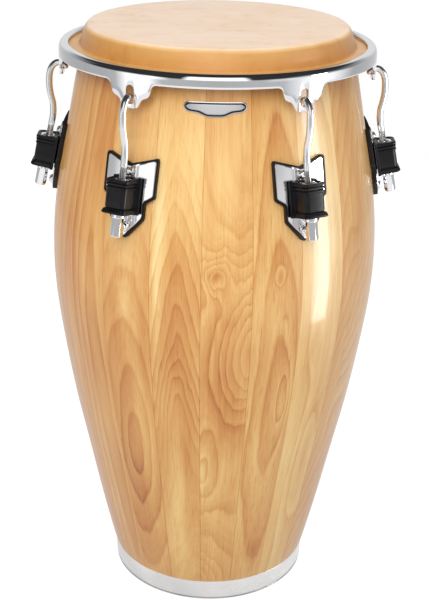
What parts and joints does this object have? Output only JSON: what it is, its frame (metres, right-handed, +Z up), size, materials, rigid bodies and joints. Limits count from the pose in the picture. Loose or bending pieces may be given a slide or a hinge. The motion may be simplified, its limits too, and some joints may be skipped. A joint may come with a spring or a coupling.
{
  "type": "tumba drum",
  "caption": "Tall barrel-shaped hand drum with a staved wooden shell, a rawhide head drawn down by a rounded steel rim, tension hooks with tuning nuts, and a steel foot ring.",
  "frame": {"origin": "centre of the foot ring's underside, on the drum's axis", "axes": "+Z up along the drum's axis to the head; -Y is the front, midway between two lugs; +X to the right as seen from the front"},
  "size_m": [0.4544, 0.4074, 0.7286],
  "materials": {
    "wood": "clear gloss lacquer over light honey-coloured staves",
    "chrome": "mirror chrome plating",
    "satin_steel": "satin plated steel",
    "steel": "plated steel",
    "rubber": "black moulded rubber",
    "receiver_rubber": "black satin moulding with ribs",
    "rawhide": "smooth translucent rawhide, darker down the collar"
  },
  "bodies": {
    "drum": {"stave_01": "wood", "stave_02": "wood", "stave_03": "wood", "stave_04": "wood", "stave_05": "wood", "stave_06": "wood", "stave_07": "wood", "stave_08": "wood", "stave_09": "wood", "stave_10": "wood", "stave_11": "wood", "stave_12": "wood", "stave_13": "wood", "stave_14": "wood", "stave_15": "wood", "stave_16": "wood", "stave_17": "wood", "stave_18": "wood", "stave_19": "wood", "stave_20": "wood", "base_ring": "satin_steel", "skin_head": "rawhide", "flesh_hoop": "steel", "rim": "chrome", "gasket_1": "rubber", "side_plate_1": "chrome", "receiver_1": "receiver_rubber", "mounting_bolts_1": "steel", "gasket_2": "rubber", "side_plate_2": "chrome", "receiver_2": "receiver_rubber", "mounting_bolts_2": "steel", "gasket_3": "rubber", "side_plate_3": "chrome", "receiver_3": "receiver_rubber", "mounting_bolts_3": "steel", "gasket_4": "rubber", "side_plate_4": "chrome", "receiver_4": "receiver_rubber", "mounting_bolts_4": "steel", "gasket_5": "rubber", "side_plate_5": "chrome", "receiver_5": "receiver_rubber", "mounting_bolts_5": "steel", "gasket_6": "rubber", "side_plate_6": "chrome", "receiver_6": "receiver_rubber", "mounting_bolts_6": "steel"},
    "hook_1": {"tension_hook_1": "chrome"},
    "nut_1": {"tuning_nut_1": "chrome"},
    "hook_2": {"tension_hook_2": "chrome"},
    "nut_2": {"tuning_nut_2": "chrome"},
    "hook_3": {"tension_hook_3": "chrome"},
    "nut_3": {"tuning_nut_3": "chrome"},
    "hook_4": {"tension_hook_4": "chrome"},
    "nut_4": {"tuning_nut_4": "chrome"},
    "hook_5": {"tension_hook_5": "chrome"},
    "nut_5": {"tuning_nut_5": "chrome"},
    "hook_6": {"tension_hook_6": "chrome"},
    "nut_6": {"tuning_nut_6": "chrome"}
  },
  "joints": [
    {"name": "nut_spin_1", "type": "hinge", "parent": "drum", "child": "nut_1", "pos_m": [0.10772, -0.18657, 0.53566], "axis": [0.104, -0.1801, -0.9781], "range_deg": [0, 1720]},
    {"name": "hook_slide_1", "type": "slide", "parent": "drum", "child": "hook_1", "axis": [-0.104, 0.1801, 0.9781], "range_m": [0, 0.006]},
    {"name": "nut_spin_2", "type": "hinge", "parent": "drum", "child": "nut_2", "pos_m": [0.21544, 0, 0.53566], "axis": [0.2079, 0, -0.9781], "range_deg": [0, 1720]},
    {"name": "hook_slide_2", "type": "slide", "parent": "drum", "child": "hook_2", "axis": [-0.2079, 0, 0.9781], "range_m": [0, 0.006]},
    {"name": "nut_spin_3", "type": "hinge", "parent": "drum", "child": "nut_3", "pos_m": [0.10772, 0.18657, 0.53566], "axis": [0.104, 0.1801, -0.9781], "range_deg": [0, 1720]},
    {"name": "hook_slide_3", "type": "slide", "parent": "drum", "child": "hook_3", "axis": [-0.104, -0.1801, 0.9781], "range_m": [0, 0.006]},
    {"name": "nut_spin_4", "type": "hinge", "parent": "drum", "child": "nut_4", "pos_m": [-0.10772, 0.18657, 0.53566], "axis": [-0.104, 0.1801, -0.9781], "range_deg": [0, 1720]},
    {"name": "hook_slide_4", "type": "slide", "parent": "drum", "child": "hook_4", "axis": [0.104, -0.1801, 0.9781], "range_m": [0, 0.006]},
    {"name": "nut_spin_5", "type": "hinge", "parent": "drum", "child": "nut_5", "pos_m": [-0.21544, 0, 0.53566], "axis": [-0.2079, 0, -0.9781], "range_deg": [0, 1720]},
    {"name": "hook_slide_5", "type": "slide", "parent": "drum", "child": "hook_5", "axis": [0.2079, 0, 0.9781], "range_m": [0, 0.006]},
    {"name": "nut_spin_6", "type": "hinge", "parent": "drum", "child": "nut_6", "pos_m": [-0.10772, -0.18657, 0.53566], "axis": [-0.104, -0.1801, -0.9781], "range_deg": [0, 1720]},
    {"name": "hook_slide_6", "type": "slide", "parent": "drum", "child": "hook_6", "axis": [0.104, 0.1801, 0.9781], "range_m": [0, 0.006]}
  ],
  "couplings": [
    {"joint": "hook_slide_1", "follows": "nut_spin_1", "m_per_rad": 0.00019894},
    {"joint": "hook_slide_2", "follows": "nut_spin_2", "m_per_rad": 0.00019894},
    {"joint": "hook_slide_3", "follows": "nut_spin_3", "m_per_rad": 0.00019894},
    {"joint": "hook_slide_4", "follows": "nut_spin_4", "m_per_rad": 0.00019894},
    {"joint": "hook_slide_5", "follows": "nut_spin_5", "m_per_rad": 0.00019894},
    {"joint": "hook_slide_6", "follows": "nut_spin_6", "m_per_rad": 0.00019894}
  ]
}
